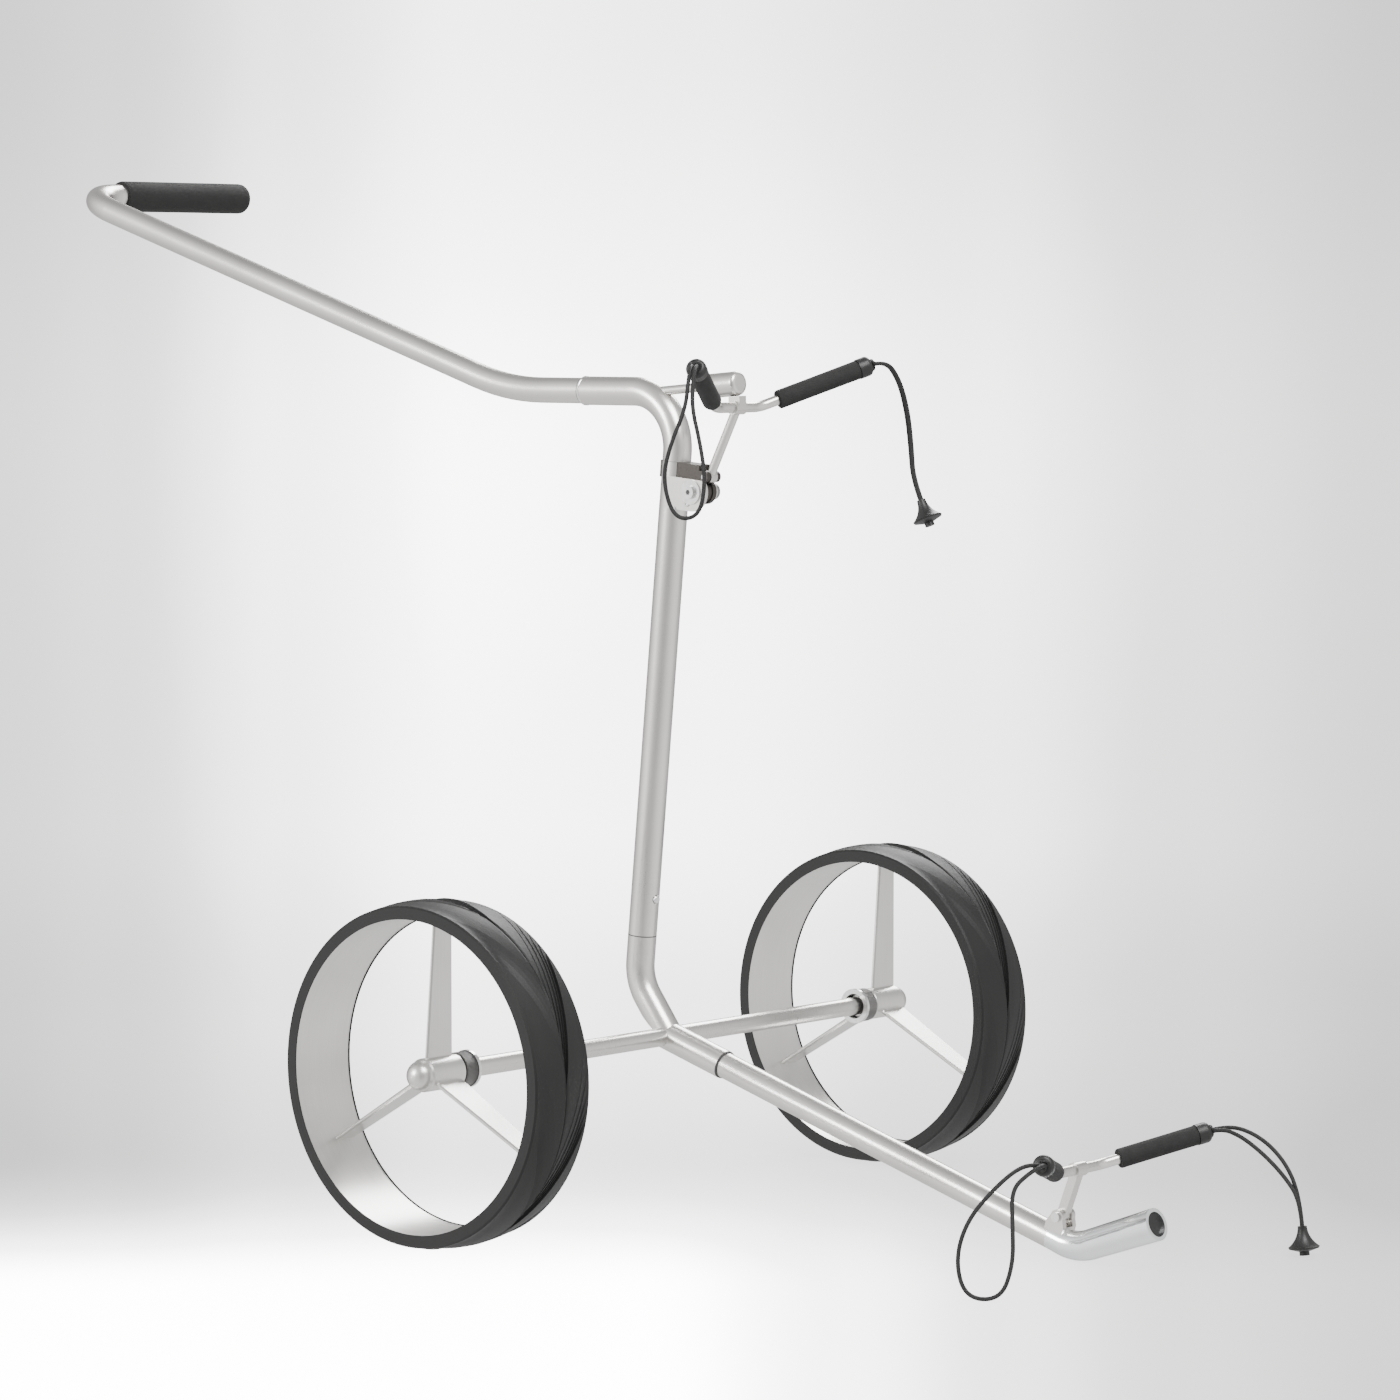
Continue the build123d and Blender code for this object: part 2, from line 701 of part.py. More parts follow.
# ---- upper bracket's strut, with the neck that sits under the latch ----
upper_pin_spot = upright_plane.from_local_coords(Vector(strut_pin_forward, pin_up, 0))
upper_hub_spot = from_axle(0, *upper_hub)
strut_run = upper_hub_spot - upper_pin_spot
strut_plane = Plane(origin=upper_pin_spot, x_dir=strut_run, z_dir=(1, 0, 0))
latch_centre_above = rod_height + (upper_hub[0] - rod_start) * tan(rod_rise)
neck_top = latch_centre_above - latch_radius / cos(rod_rise) - side_gap
with BuildPart() as upper_strut:
    with BuildSketch(strut_plane):
        Circle(strut_eye_radius)
    extrude(amount=strut_radius, both=True)
    with BuildSketch(Plane(origin=upper_pin_spot, z_dir=strut_run)):
        Circle(strut_radius)
    extrude(amount=strut_run.length)
    with BuildSketch(strut_plane):
        with Locations((strut_run.length, 0)):
            Circle(barrel_radius)
    extrude(amount=barrel_half, both=True)
    with BuildSketch(middle):
        with BuildLine():
            Polyline(
                (upper_hub[0] - barrel_radius, upper_hub[1]),
                (upper_hub[0] + barrel_radius, upper_hub[1]),
                (upper_hub[0] + barrel_radius, neck_top + barrel_radius * tan(rod_rise)),
                (upper_hub[0] - barrel_radius, neck_top - barrel_radius * tan(rod_rise)),
                close=True,
            )
        make_face()
    extrude(amount=4.5, both=True)
    with BuildSketch(strut_plane):
        Circle(pin_radius + running)
    extrude(amount=2 * strut_radius, both=True, mode=Mode.SUBTRACT)
save(upper_strut.part, "upper_strut")

# ---- rod out of the front of the top bend, with the latch sleeve on it ----
rod_dir = Vector(0, cos(rod_rise), sin(rod_rise))
rod_foot = from_axle(0, rod_start, rod_height)
rod_root = rod_foot - rod_dir * rod_sunk
latch_base = rod_foot + rod_dir * latch_start
rod_tip = latch_base + rod_dir * (latch_bore_depth - latch_travel - 1.0)
bracket_rod = rod_between(rod_root, rod_tip, rod_radius) - bend_solid
save(bracket_rod.solids().sort_by(Axis.Y)[-1], "bracket_rod")

with BuildPart() as latch_sleeve:
    with BuildSketch(Plane(origin=latch_base, z_dir=rod_dir)):
        Circle(latch_radius)
    extrude(amount=latch_length)
    with BuildSketch(Plane(origin=latch_base, z_dir=rod_dir)):
        Circle(rod_radius + running)
    extrude(amount=latch_bore_depth, mode=Mode.SUBTRACT)
    latch_rims = latch_sleeve.edges().filter_by(GeomType.CIRCLE).sort_by(
        Axis(latch_base, rod_dir)
    )
    fillet(latch_rims[-1], radius=4.0)
    chamfer(latch_rims.filter_by(lambda rim: rim.radius > rod_radius + 1)[0], length=1.0)
save(latch_sleeve.part, "latch_sleeve")

# ---- arms, pads and caps: the same set on both brackets, left and right ----
arm_bore = arm_radius - arm_wall


def make_arm(bracket, hub, tip, side):
    """Arm tube, foam pad and end cap on one side of a bracket."""
    word = "right" if side > 0 else "left"
    hub_end = from_axle(side * barrel_half, *hub)
    elbow = from_axle(side * elbow_x, *hub)
    face = from_axle(side * tip[0], tip[1], tip[2])
    outward = (face - elbow).normalized()
    arm_end = face - outward * cap_length
    arm = bent_tube([hub_end, elbow, arm_end], arm_bend_radius, arm_radius, arm_bore)
    save(arm, f"{bracket}_arm_{word}")
    pad = rod_between(elbow + outward * pad_start, arm_end, pad_radius, arm_radius)
    save(pad, f"{bracket}_pad_{word}")
    with BuildPart() as cap:
        with BuildSketch(Plane(origin=arm_end - outward * cap_plug, z_dir=outward)):
            Circle(arm_bore)
        extrude(amount=cap_plug)
        with BuildSketch(Plane(origin=arm_end, z_dir=outward)):
            Circle(cap_radius)
        extrude(amount=cap_length)
        rims = cap.edges().filter_by(GeomType.CIRCLE).sort_by(Axis(arm_end, outward))
        fillet(rims[-1], radius=cap_round)
        with BuildSketch(Plane(origin=face - outward * cap_pocket_depth, z_dir=outward)):
            Circle(cap_pocket_radius)
        extrude(amount=cap_length, mode=Mode.SUBTRACT)
    save(cap.part, f"{bracket}_cap_{word}")
    return face - outward * (cap_pocket_depth - running)


def make_cord(name, face, route):
    """A cord along its route from a cap's end face, with arcs as large as its runs allow."""
    points = [face + Vector(*offset) for offset in route]
    bends = []
    for before, here, after in zip(points, points[1:], points[2:]):
        turn = radians((here - before).get_angle(after - here))
        shorter = min((here - before).length, (after - here).length)
        bends.append(0.45 * shorter / tan(turn / 2))
    cord = bent_tube(points, bends, cord_radius)
    length = cord.volume / (pi * cord_radius**2)
    runs = [(b - a).length for a, b in zip(points, points[1:])]
    print(name, "length", round(length, 1), "volume", round(cord.volume, 1))
    print("   runs", [round(run, 1) for run in runs])
    print("   radii", [round(bend, 1) for bend in bends])
    save(cord, name)


def make_toggle(name, top, axis):
    """A flared cone with a small boss under it, on the end of two strands."""
    rim = toggle_height - toggle_rim_height
    side_plane = Plane(origin=top, x_dir=axis.cross(Vector(1, 0, 0)), z_dir=axis)
    profile_plane = Plane(origin=top, x_dir=side_plane.x_dir,
                          z_dir=side_plane.x_dir.cross(axis))
    with BuildPart() as toggle:
        with BuildSketch(profile_plane):
            with BuildLine():
                Line((0, 0), (toggle_top_radius, 0))
                ThreePointArc(
                    (toggle_top_radius, 0),
                    (toggle_top_radius + 2.4, rim * 0.55),
                    (toggle_radius, rim),
                )
                Line((toggle_radius, rim), (toggle_radius - 0.6, rim + 1.4))
                Line((toggle_radius - 0.6, rim + 1.4), (toggle_boss_radius, rim + 4.0))
                Line((toggle_boss_radius, rim + 4.0), (toggle_boss_radius, toggle_height))
                Line((toggle_boss_radius, toggle_height), (0, toggle_height))
                Line((0, toggle_height), (0, 0))
            make_face()
        revolve(axis=Axis(top, axis))
    save(toggle.part, name)


upper_right_face = make_arm("upper", upper_hub, upper_tip, 1)
upper_left_face = make_arm("upper", upper_hub, upper_tip, -1)
lower_right_face = make_arm("lower", lower_hub, lower_tip, 1)
lower_left_face = make_arm("lower", lower_hub, lower_tip, -1)

make_cord("upper_loop_cord", upper_right_face, upper_loop_route)
make_cord("lower_loop_cord", lower_right_face, lower_loop_route)
make_cord("upper_toggle_cord_back", upper_left_face, upper_toggle_route_back)
make_cord("upper_toggle_cord_front", upper_left_face, upper_toggle_route_front)
make_cord("lower_toggle_cord_back", lower_left_face, lower_toggle_route_back)
make_cord("lower_toggle_cord_front", lower_left_face, lower_toggle_route_front)


def toggle_place(face, back, front):
    """The middle of the two strands' ends, and the direction in which they arrive."""
    arrival = Vector(*back[-1]) - Vector(*back[-2]) + Vector(*front[-1]) - Vector(*front[-2])
    axis = arrival.normalized()
    top = face + (Vector(*back[-1]) + Vector(*front[-1])) * 0.5 + axis * toggle_gap
    return top, axis


upper_top, upper_axis = toggle_place(
    upper_left_face, upper_toggle_route_back, upper_toggle_route_front
)
make_toggle("upper_toggle", upper_top, upper_axis)
lower_top, lower_axis = toggle_place(
    lower_left_face, lower_toggle_route_back, lower_toggle_route_front
)
make_toggle("lower_toggle", lower_top, lower_axis)

# ---- wheels ----
rim_outer = wheel_radius - tyre_thickness
rim_inner = rim_outer - rim_wall


def make_wheel(side):
    """Tyre, rim, spokes, hub, bearings, bush and release ring of one wheel."""
    word = "right" if side > 0 else "left"
    across = Plane(origin=axle, x_dir=(side, 0, 0), z_dir=(0, -side, 0))
    wheel_axis = Axis(axle, (1, 0, 0))
    half = wheel_width / 2
    edge = wheel_radius - tyre_crown
    outer = wheel_centre_x + half
    inner = wheel_centre_x - half

    with BuildPart() as tyre:
        with BuildSketch(across):
            with BuildLine():
                Line((inner, rim_outer), (inner, edge - 1.5))
                Line((inner, edge - 1.5), (inner + 1.5, edge))
                ThreePointArc(
                    (inner + 1.5, edge), (wheel_centre_x, wheel_radius), (outer - 1.5, edge)
                )
                Line((outer - 1.5, edge), (outer, edge - 1.5))
                Line((outer, edge - 1.5), (outer, rim_outer))
                Line((outer, rim_outer), (inner, rim_outer))
            make_face()
            with Locations((wheel_centre_x, wheel_radius)):
                Rectangle(tread_groove_width, 2 * tread_groove_depth, mode=Mode.SUBTRACT)
        revolve(axis=wheel_axis)
    save(tyre.part, f"tyre_{word}")

    with BuildPart() as rim:
        with BuildSketch(middle.offset(side * wheel_centre_x)):
            Circle(rim_outer)
            Circle(rim_inner, mode=Mode.SUBTRACT)
        extrude(amount=rim_width / 2, both=True)
    save(rim.part, f"rim_{word}")

    # the spokes' straight edge is towards the left on both wheels
    root_left = hub_inner_face + 3.5 if side > 0 else hub_inner_face + 8.5 + spoke_root_width
    straight = side * root_left
    spokes = []
    for number in range(spoke_count):
        with BuildPart() as spoke:
            with BuildSketch(Plane(origin=axle, x_dir=(1, 0, 0), z_dir=(0, -1, 0))):
                with BuildLine():
                    Polyline(
                        (straight, hub_radius - 2),
                        (straight, rim_inner + 2),
                        (straight + spoke_tip_width, rim_inner + 2),
                        (straight + spoke_root_width, hub_radius - 2),
                        close=True,
                    )
                make_face()
            extrude(amount=spoke_thickness / 2, both=True)
            long_edges = [
                e for e in spoke.edges() if e.length > rim_inner - hub_radius
            ]
            chamfer(long_edges, length=spoke_edge)
            with BuildSketch(middle.offset(straight - 5)):
                Circle(2 * wheel_radius)
                Circle(rim_inner, mode=Mode.SUBTRACT)
                Circle(hub_radius)
            extrude(amount=spoke_root_width + 10, mode=Mode.SUBTRACT)
        spokes.append(spoke.part.rotate(wheel_axis, number * 360 / spoke_count))
    save(Compound(children=[solid for part in spokes for solid in part.solids()]),
         f"spokes_{word}")

    hub_outer_face = hub_inner_face + hub_length
    with BuildPart() as hub:
        with BuildSketch(across):
            with BuildLine():
                Polyline(
                    (hub_inner_face - hub_boss_length, bush_radius + 0.5),
                    (hub_inner_face - hub_boss_length, hub_boss_radius),
                    (hub_inner_face, hub_boss_radius),
                    (hub_inner_face, hub_radius - 0.6),
                    (hub_inner_face + 0.6, hub_radius),
                    (hub_outer_face - 1.5, hub_radius),
                    (hub_outer_face, nose_radius),
                )
                RadiusArc(
                    (hub_outer_face, nose_radius), (hub_outer_face + nose_radius, 0), nose_radius
                )
                Polyline(
                    (hub_outer_face + nose_radius, 0),
                    (hub_outer_face - 2, 0),
                    (hub_outer_face - 2, bearing_outer),
                    (hub_inner_face + 2, bearing_outer),
                    (hub_inner_face + 2, bush_radius + 0.5),
                    (hub_inner_face - hub_boss_length, bush_radius + 0.5),
                )
            make_face()
        revolve(axis=wheel_axis)
    save(hub.part, f"hub_{word}")

    bearings = []
    for start in (hub_inner_face + 2, hub_outer_face - 2 - bearing_width):
        with BuildPart() as bearing:
            with BuildSketch(middle.offset(side * start)):
                Circle(bearing_outer)
                Circle(bush_radius + running, mode=Mode.SUBTRACT)
            extrude(amount=side * bearing_width)
        bearings.append(bearing.part)
    save(Compound(children=[part.solid() for part in bearings]), f"hub_bearings_{word}")

    with BuildPart() as bush:
        with BuildSketch(middle.offset(side * (axle_tube_half + side_gap))):
            Circle(bush_radius)
            Circle(axle_rod_radius + running, mode=Mode.SUBTRACT)
        extrude(amount=side * (axle_rod_half - axle_tube_half + 1.5))
    save(bush.part, f"hub_bush_{word}")

    ring_outer_face = hub_inner_face - ring_gap
    ring_inner_face = ring_outer_face - ring_length
    with BuildPart() as ring:
        with BuildSketch(across):
            with BuildLine():
                Polyline(
                    (ring_inner_face, ring_bore),
                    (ring_inner_face, ring_mouth_radius),
                    (ring_inner_face + ring_mouth_width, ring_mouth_radius),
                    (ring_inner_face + ring_mouth_width, ring_radius),
                    (ring_outer_face - 0.6, ring_radius),
                    (ring_outer_face, ring_radius - 0.6),
                    (ring_outer_face, hub_boss_radius + running),
                    (ring_inner_face + ring_bore_depth, hub_boss_radius + running),
                    (ring_inner_face + ring_bore_depth, ring_bore),
                    close=True,
                )
            make_face()
        revolve(axis=wheel_axis)
    save(ring.part, f"release_ring_{word}")


make_wheel(1)
make_wheel(-1)
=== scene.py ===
from math import cos, pi, radians, sin

import bmesh
import bpy
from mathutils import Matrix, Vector


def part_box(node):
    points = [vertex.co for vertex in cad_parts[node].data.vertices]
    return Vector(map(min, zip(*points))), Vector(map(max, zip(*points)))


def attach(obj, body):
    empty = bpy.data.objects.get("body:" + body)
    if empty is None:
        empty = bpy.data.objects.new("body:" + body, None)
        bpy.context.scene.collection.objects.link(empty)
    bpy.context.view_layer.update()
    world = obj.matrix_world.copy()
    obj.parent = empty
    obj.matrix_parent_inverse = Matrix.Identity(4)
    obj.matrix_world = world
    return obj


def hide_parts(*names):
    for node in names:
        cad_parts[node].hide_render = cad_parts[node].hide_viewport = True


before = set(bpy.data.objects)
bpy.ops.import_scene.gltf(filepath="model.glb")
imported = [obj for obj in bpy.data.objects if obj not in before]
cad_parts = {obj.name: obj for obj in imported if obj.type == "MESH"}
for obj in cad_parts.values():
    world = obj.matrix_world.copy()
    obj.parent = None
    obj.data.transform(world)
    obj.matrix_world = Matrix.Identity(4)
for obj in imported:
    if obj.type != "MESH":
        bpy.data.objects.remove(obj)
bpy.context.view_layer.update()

axle = (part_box("axle_tube")[0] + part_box("axle_tube")[1]) / 2

# ---- The viewer ----
# A long lens from the front right, a little above the top bend, takes in the whole trolley.
film_width, lens_length = 36, 136.6
from_the_axle = Vector((3.4647, 2.9753, 0.6319))
looking_down, turned = 4.26, 130.32
camera = bpy.data.objects.new("camera", bpy.data.cameras.new("camera"))
bpy.context.collection.objects.link(camera)
camera.data.sensor_width = film_width
camera.data.lens = lens_length
camera.location = axle + from_the_axle
camera.rotation_euler = (radians(90 - looking_down), 0, radians(turned))
bpy.context.scene.camera = camera


# ---- Elastic cords ----
# Black braided elastic, 3.5 mm thick, knotted inside the cap at the end of each bracket arm.
# On the right it hangs in a loop, and on the left two strands hang down to a toggle.
class Value:
    """A number or colour that varies over a surface; arithmetic on it adds Math nodes."""

    def __init__(self, finish, socket):
        self.finish = finish
        self.socket = socket

    def math(self, operation, *values):
        return self.finish.node("ShaderNodeMath", {"operation": operation},
                                dict(enumerate(values)))

    def __add__(self, other):
        return self.math("ADD", self, other)

    def __radd__(self, other):
        return self.math("ADD", other, self)

    def __sub__(self, other):
        return self.math("SUBTRACT", self, other)

    def __rsub__(self, other):
        return self.math("SUBTRACT", other, self)

    def __mul__(self, other):
        return self.math("MULTIPLY", self, other)

    def __rmul__(self, other):
        return self.math("MULTIPLY", other, self)

    def __pow__(self, other):
        return self.math("POWER", self, other)

    def __rpow__(self, other):
        return self.math("POWER", other, self)


class Finish:
    """One surface: its material, its shader and the nodes that feed it."""

    def __init__(self, name, **fixed):
        self.material = bpy.data.materials.new(name)
        self.material.use_nodes = True
        self.tree = self.material.node_tree
        self.shader = self.tree.nodes["Principled BSDF"]
        for socket, value in fixed.items():
            self.feed(self.shader.inputs[socket.replace("_", " ")], value)

    def feed(self, socket, value):
        """Puts a number, a colour or a Value into a socket."""
        if isinstance(value, Value):
            self.tree.links.new(value.socket, socket)
        elif socket.type == "RGBA":
            socket.default_value = (*value, 1) if len(value) == 3 else value
        else:
            socket.default_value = value

    def node(self, kind, settings=None, inputs=None, output=0):
        """Adds a node, with its settings first and then its inputs."""
        made = self.tree.nodes.new(kind)
        for name, value in (settings or {}).items():
            if name == "stops":
                ramp = made.color_ramp.elements
                for place, _ in value[1:-1]:
                    ramp.new(place)
                for element, (place, shade) in zip(ramp, value):
                    element.position = place
                    element.color = (shade, shade, shade, 1)
            else:
                setattr(made, name, value)
        for name, value in (inputs or {}).items():
            self.feed(made.inputs[name], value)
        return Value(self, made.outputs[output])

    def place(self):
        """The point on the surface, in metres, in the trolley's own frame."""
        return self.node("ShaderNodeTexCoord", output="Object")

    def stretched(self, across):
        """The point, with each of its directions scaled."""
        return self.node("ShaderNodeVectorMath", {"operation": "MULTIPLY"},
                         {0: self.place(), 1: across})

    def grain(self, scale, detail=2, where=None):
        """Soft noise with features 1/scale metres across."""
        return self.node("ShaderNodeTexNoise", {},
                         {"Vector": where or self.place(), "Scale": scale, "Detail": detail})

    def colour(self, mask, first, second):
        """Goes from the first colour to the second as the mask goes from 0 to 1."""
        mixed = self.node("ShaderNodeMix", {"data_type": "RGBA"},
                          {0: mask, 6: first, 7: second}, output=2)
        self.feed(self.shader.inputs["Base Color"], mixed)

    def rough(self, value):
        self.feed(self.shader.inputs["Roughness"], value)

    def relief(self, height, depth):
        """Raises the surface by the height, which goes from 0 to 1, times a depth in metres."""
        normal = self.node("ShaderNodeBump", {},
                           {"Height": height, "Distance": depth, "Strength": 1.0})
        self.feed(self.shader.inputs["Normal"], normal)


braid = Finish("braided_elastic", Roughness=0.6, Specular_IOR_Level=0.35)
strands = braid.node("ShaderNodeTexVoronoi", {"feature": "F1"},
                     {"Vector": braid.place(), "Scale": 1150.0})
# Painted shade: the braid is coloured darker in the hollows between its strands, where its relief
# is lowest.
braid.colour(strands * 0.9, (0.014, 0.014, 0.0135), (0.003, 0.003, 0.003))
braid.relief(1 - strands, 0.0004)

cord_thickness = 0.0035
elbow_x, pocket_depth = 0.029, 0.00295
# From the axle's middle: each bracket's elbows (forward, up) and the end of its right cap.
upper_hub, upper_tip = (0.0765, 0.5445), (0.116, 0.1285, 0.580)
lower_hub, lower_tip = (0.4384, -0.070), (0.1145, 0.488, -0.0475)


def arm_line(side, hub, tip):
    """An arm's elbow and its cap's outer face, and the direction between them."""
    elbow = axle + Vector((side * elbow_x, *hub))
    face = axle + Vector((side * tip[0], tip[1], tip[2]))
    return elbow, face, (face - elbow).normalized()


def hang_cord(name, node, side, hub, tip, route):
    """A smooth cord from inside a cap's mouth, through points measured from that mouth."""
    _, face, outward = arm_line(side, hub, tip)
    mouth = face - outward * pocket_depth
    line = bpy.data.curves.new(name, "CURVE")
    line.dimensions = "3D"
    line.bevel_depth = cord_thickness / 2
    line.bevel_resolution = 5
    line.use_fill_caps = True
    spline = line.splines.new("NURBS")
    spline.points.add(len(route) - 1)
    for point, offset in zip(spline.points, route):
        point.co = (*(mouth + Vector(offset) / 1000), 1)
    spline.order_u = 3
    spline.use_endpoint_u = True
    spline.resolution_u = 12
    line.materials.append(braid.material)
    cord = bpy.data.objects.new(name, line)
    bpy.context.collection.objects.link(cord)
    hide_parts(node)
    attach(cord, node.split("_")[0] + "_bracket")
    tuple(mouth + Vector(route[0]) / 1000)


hang_cord("upper_loop", "upper_loop_cord", 1, upper_hub, upper_tip, [
    (1.0, -1.7, 0), (12.3, 5.1, 4.6), (25, 13, -9), (33, 16.5, -33), (44, 9.5, -62),
    (48.5, 5, -91), (44.5, 14, -123), (35.5, 34, -121), (32, 37.5, -91), (31.5, 31, -60),
    (30, 21, -32), (23, 16.4, -9), (10.3, 8.5, 4.6), (-1.0, 1.7, 0),
])
hang_cord("lower_loop", "lower_loop_cord", 1, lower_hub, lower_tip, [
    (1.0, -1.7, 0), (12, 4.6, 2.9), (34, 2, 3.5), (58, -5.5, -12), (79, -16, -36),
    (88.5, -19.5, -66), (88, -10, -94.6), (76, 15.5, -94.8), (65, 19.5, -68),
    (57.5, 13, -38), (45, 2.5, -13), (26, 5, -2.5), (10, 8, 2.9), (-1.0, 1.7, 0),
])
hang_cord("upper_strand_back", "upper_toggle_cord_back", -1, upper_hub, upper_tip, [
    (-1.0, -1.7, 0), (-14.8, 6.6, 5.6), (-29, 11, -12), (-38, 13, -40), (-41, 15, -72),
    (-42, 16.5, -97), (-43, 24.5, -116),
])
hang_cord("upper_strand_front", "upper_toggle_cord_front", -1, upper_hub, upper_tip, [
    (1.0, 1.7, 0), (-12.8, 10, 5.6), (-27, 14.5, -12), (-36, 16.8, -40), (-39, 18.6, -72),
    (-39.9, 19.4, -95.9), (-40.9, 27.4, -114.9),
])
hang_cord("lower_strand_back", "lower_toggle_cord_back", -1, lower_hub, lower_tip, [
    (-1.0, -1.7, 0), (-13, 5.2, 3.2), (-25, 19, 2.4), (-29, 42, -8), (-27.5, 64, -27),
    (-24.5, 76.5, -51), (-24, 79.5, -72),
])
hang_cord("lower_strand_front", "lower_toggle_cord_front", -1, lower_hub, lower_tip, [
    (1.0, 1.7, 0), (-10, 8.1, 2.9), (-20, 21, -3.5), (-24, 41, -17), (-23.4, 62, -33),
    (-20.2, 79.6, -50.4), (-20.7, 81.5, -71.6),
])

# ---- Toggles and end caps ----
# Moulded black plastic: two flared cones that hook the loops, and four rounded caps with a
# pocket, where the knotted cord fills the mouth. The foot's plug and the hubs' bushes match.
moulded = Finish("moulded_black", Specular_IOR_Level=0.4)
haze = moulded.grain(220.0, 4)
moulded.colour(haze, (0.004, 0.004, 0.004), (0.011, 0.0105, 0.010))
moulded.rough(0.30 + haze * 0.25)
moulded.relief(moulded.grain(1800.0), 0.00006)


def dress(finish, *names):
    """Gives CAD nodes a finish."""
    for name in names:
        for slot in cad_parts[name].material_slots:
            slot.material = finish.material


dress(moulded, "upper_toggle", "lower_toggle", "upper_cap_left", "upper_cap_right",
      "lower_cap_left", "lower_cap_right", "foot_plug", "hub_bush_left", "hub_bush_right")


smooth_below = radians(32)


def add_piece(name, mesh, finish, body):
    """A new mesh piece, smooth where it is round, riding on its body."""
    mesh.set_sharp_from_angle(angle=smooth_below)
    for polygon in mesh.polygons:
        polygon.use_smooth = True
    mesh.materials.append(finish.material)
    piece = bpy.data.objects.new(name, mesh)
    bpy.context.collection.objects.link(piece)
    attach(piece, body)
    return piece


knot_cord, knot_size, knot_turns = 0.00155, 0.00145, 24
knot_lift, knot_weave = 0.0012, 1.1


def tie_knot(name, face, outward, body):
    """The cord's knot that fills a cap's mouth: one three-lobed turn of cord."""
    line = bpy.data.curves.new(name, "CURVE")
    line.dimensions = "3D"
    line.bevel_depth = knot_cord
    line.bevel_resolution = 4
    line.resolution_u = 6
    spline = line.splines.new("NURBS")
    spline.points.add(knot_turns - 1)
    lie = outward.to_track_quat("Z", "Y").to_matrix()
    for step, point in enumerate(spline.points):
        angle = 2 * pi * step / knot_turns
        knot = Vector((sin(angle) + 2 * sin(2 * angle), cos(angle) - 2 * cos(2 * angle),
                       -knot_weave * sin(3 * angle)))
        point.co = (*(face + outward * knot_lift + lie @ (knot * knot_size)), 1)
    spline.use_cyclic_u = True
    spline.order_u = 3
    shape = bpy.data.objects.new(name, line)
    mesh = bpy.data.meshes.new_from_object(shape)
    bpy.data.objects.remove(shape)
    add_piece(name, mesh, braid, body)


for bracket, hub, tip in (("upper", upper_hub, upper_tip), ("lower", lower_hub, lower_tip)):
    for word, side in (("right", 1), ("left", -1)):
        _, face, outward = arm_line(side, hub, tip)
        tie_knot(f"{bracket}_knot_{word}", face, outward, f"{bracket}_bracket")

# ---- Frame tubes ----
# Stainless tube with a satin, lengthwise-brushed skin: lower bend, upright, top bend,
# handle tube, front leg and axle tube, with the brackets' arms of thinner tube.
satin = Finish("satin_tube", Metallic=1.0)
cloud = satin.grain(14.0, 3)
brushing = satin.grain(1.0, 3, satin.stretched((1700.0, 260.0, 260.0)))
satin.colour(cloud, (0.56, 0.545, 0.52), (0.66, 0.645, 0.625))
satin.rough(0.22 + cloud * 0.05 + brushing * 0.09)
satin.relief(brushing, 0.00002)
dress(satin, "axle_tube", "front_stub", "lower_bend_tube", "upright_tube", "upright_spigot",
      "bend_tube", "handle_tube", "front_tube", "hinge_fork", "latch_sleeve", "upper_strut",
      "bracket_rod", "lower_saddle", "lower_post", "upper_arm_left", "upper_arm_right",
      "lower_arm_left", "lower_arm_right")

# ---- Seams of the frame ----
# Where one tube slides into the next there is a thin black collar, and at the handle's
# seam a bright rolled bead beside it.
collar = Finish("seam_collar", Base_Color=(0.03, 0.03, 0.03))
collar.rough(0.5 + collar.grain(900.0) * 0.2)
bright = Finish("bright_turned_steel", Metallic=1.0)
turning = bright.grain(1.0, 2, bright.stretched((2600.0, 300.0, 300.0)))
bright.colour(turning, (0.62, 0.62, 0.61), (0.78, 0.78, 0.77))
bright.rough(0.16 + turning * 0.12)


def turn(name, profile, start, direction, finish, body, around=48):
    """A piece turned on a lathe, from (distance along, radius) pairs in millimetres."""
    mesh = bpy.data.meshes.new(name)
    shape = bmesh.new()
    lie = direction.normalized().to_track_quat("Z", "Y").to_matrix()
    rings = []
    for along, radius in profile:
        ring = []
        for step in range(around if radius else 1):
            angle = 2 * pi * step / around
            spot = Vector((radius * cos(angle), radius * sin(angle), along)) / 1000
            ring.append(shape.verts.new(start + lie @ spot))
        rings.append(ring)
    for first, second in zip(rings, rings[1:]):
        for step in range(around):
            after = (step + 1) % around
            corners = [first[step % len(first)], first[after % len(first)],
                       second[after % len(second)], second[step % len(second)]]
            corners = list(dict.fromkeys(corners))
            if len(corners) > 2:
                shape.faces.new(corners)
    if len(rings[0]) > 1 and profile[0] == profile[-1]:
        bmesh.ops.remove_doubles(shape, verts=shape.verts, dist=1e-7)
    bmesh.ops.recalc_face_normals(shape, faces=shape.faces)
    shape.to_mesh(mesh)
    shape.free()
    return add_piece(name, mesh, finish, body)


